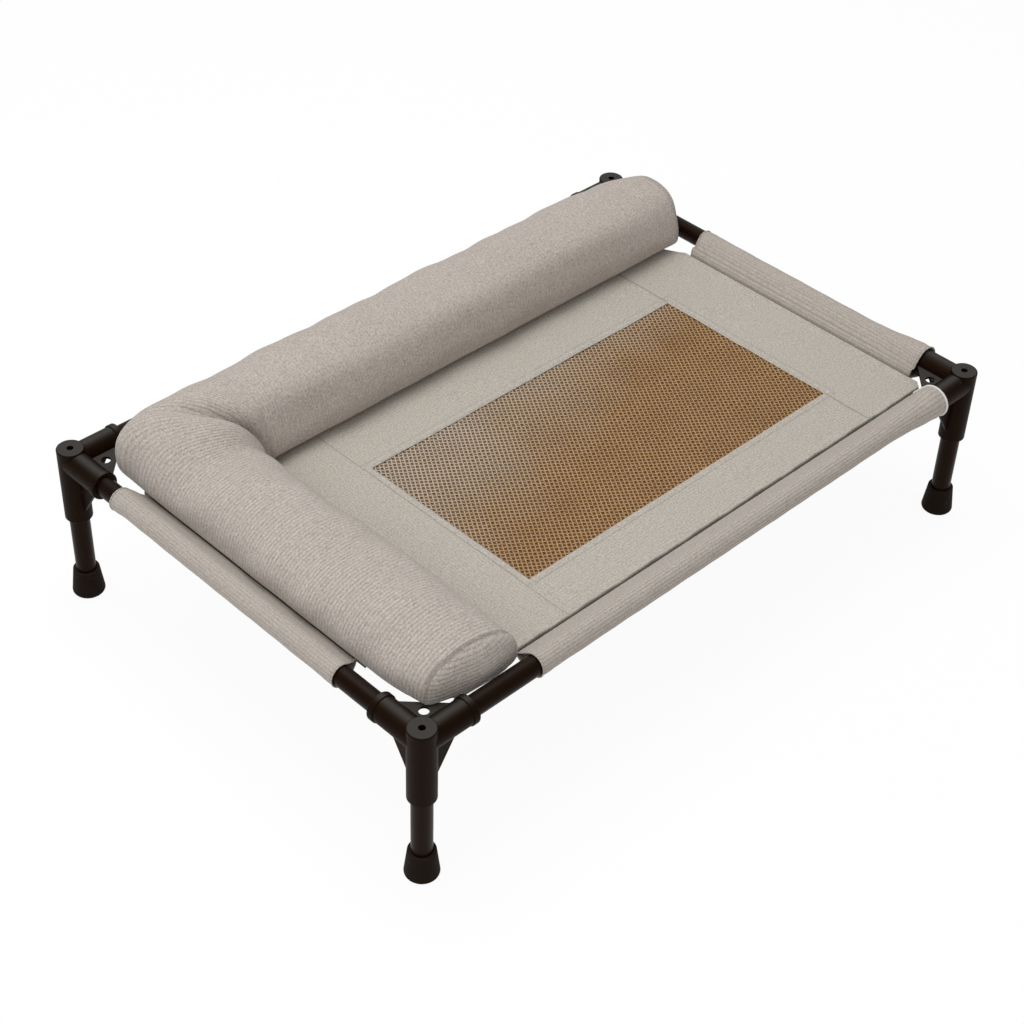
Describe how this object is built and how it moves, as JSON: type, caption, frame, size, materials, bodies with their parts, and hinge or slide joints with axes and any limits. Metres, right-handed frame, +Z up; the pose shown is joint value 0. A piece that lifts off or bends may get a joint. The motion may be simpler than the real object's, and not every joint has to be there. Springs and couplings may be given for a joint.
{
  "type": "raised dog cot",
  "caption": "Raised dog cot: a black tube frame with moulded corner connectors on short legs carries a stretched fabric cover with a mesh window and an L-shaped bolster.",
  "frame": {"origin": "on the floor, under the middle of the frame", "axes": "+X along the long rails, towards the end without a bolster; +Y across, towards the long arm of the bolster; +Z up"},
  "size_m": [0.856, 0.586, 0.2615],
  "materials": {
    "moulded_plastic": "matte",
    "coated_tube": "satin",
    "foot_rubber": "matte",
    "screw_steel": "satin",
    "cover_fabric": "matte",
    "mesh_fabric": "matte",
    "bolster_fabric": "matte",
    "fibre_fill": "matte"
  },
  "bodies": {
    "frame": {"connector_front_left": "moulded_plastic", "connector_front_right": "moulded_plastic", "connector_back_left": "moulded_plastic", "connector_back_right": "moulded_plastic", "rail_front": "coated_tube", "rail_back": "coated_tube", "rail_left": "coated_tube", "rail_right": "coated_tube", "leg_front_left": "coated_tube", "leg_front_right": "coated_tube", "leg_back_left": "coated_tube", "leg_back_right": "coated_tube", "foot_front_left": "foot_rubber", "foot_front_right": "foot_rubber", "foot_back_left": "foot_rubber", "foot_back_right": "foot_rubber", "leg_screws": "screw_steel", "leg_plugs": "moulded_plastic", "sleeve_front": "cover_fabric", "sleeve_back": "cover_fabric", "sleeve_left": "cover_fabric", "sleeve_right": "cover_fabric", "border_front": "cover_fabric", "border_back": "cover_fabric", "border_left": "cover_fabric", "border_right": "cover_fabric", "mesh_panel": "mesh_fabric"},
    "bolster": {"bolster_cover": "bolster_fabric", "bolster_cap_front": "bolster_fabric", "bolster_cap_right": "bolster_fabric", "bolster_fill": "fibre_fill"}
  },
  "joints": [
    {"name": "bolster_lift", "type": "slide", "parent": "frame", "child": "bolster", "axis": [0, 0, 1], "range_m": [0, 0.12]}
  ]
}
